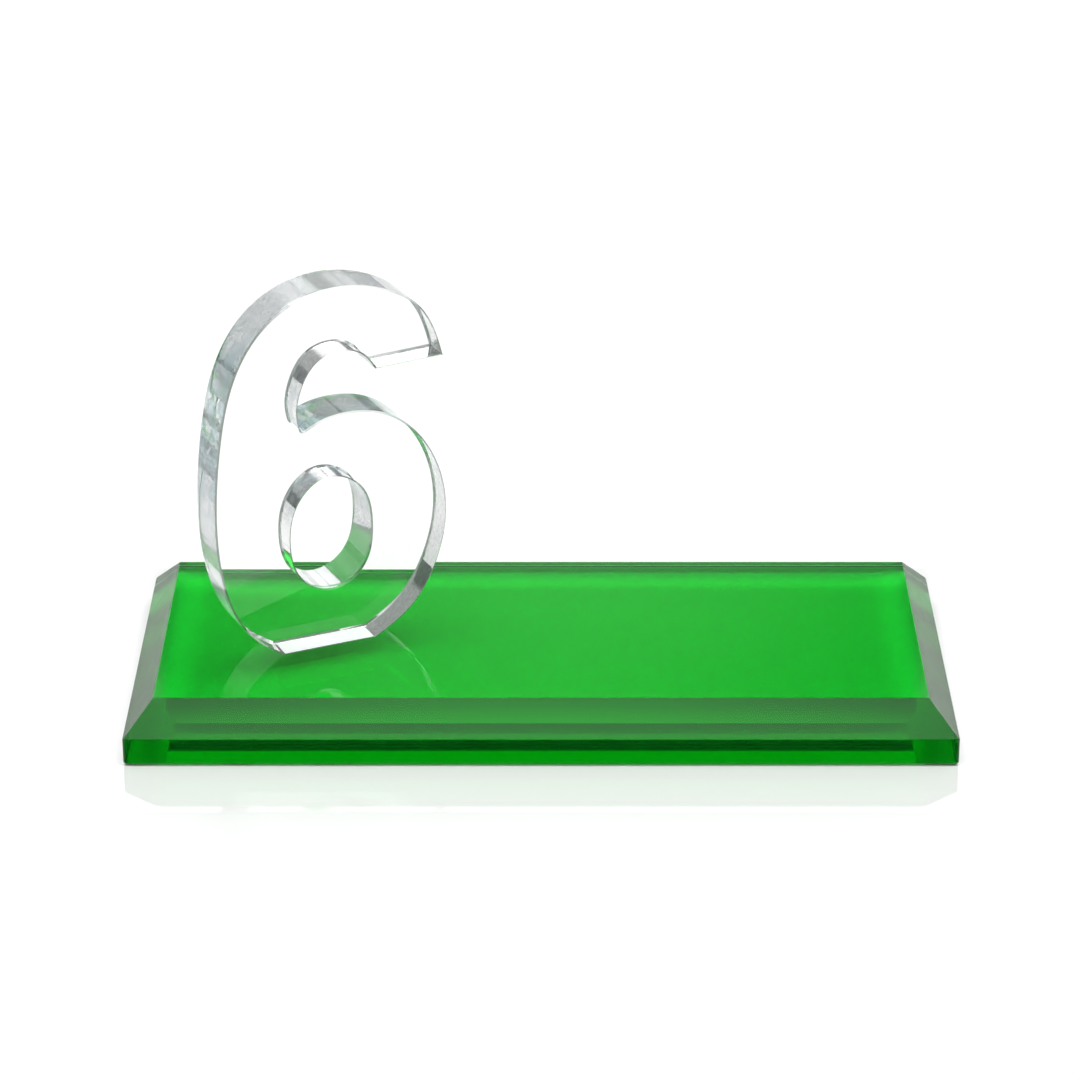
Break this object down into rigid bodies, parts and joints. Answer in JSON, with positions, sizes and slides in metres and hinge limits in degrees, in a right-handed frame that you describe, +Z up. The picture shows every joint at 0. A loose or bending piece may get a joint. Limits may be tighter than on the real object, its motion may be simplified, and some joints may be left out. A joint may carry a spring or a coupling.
{
  "type": "crystal number stand",
  "caption": "Free-standing table number holder: a clear crystal numeral bonded upright, turned a little, on a long green crystal base with wide bevels.",
  "frame": {"origin": "centre of the underside of the base block, on the surface it stands on", "axes": "+X along the length of the base to the right as seen from the front, +Y to the back, +Z up; the front faces -Y"},
  "size_m": [0.254, 0.1176, 0.1373],
  "materials": {
    "green_crystal": "polished",
    "clear_crystal": "polished",
    "clear_adhesive": "cured, slightly milky"
  },
  "bodies": {
    "root": {"base_block": "green_crystal", "numeral_six": "clear_crystal", "bond_film": "clear_adhesive"}
  },
  "joints": []
}
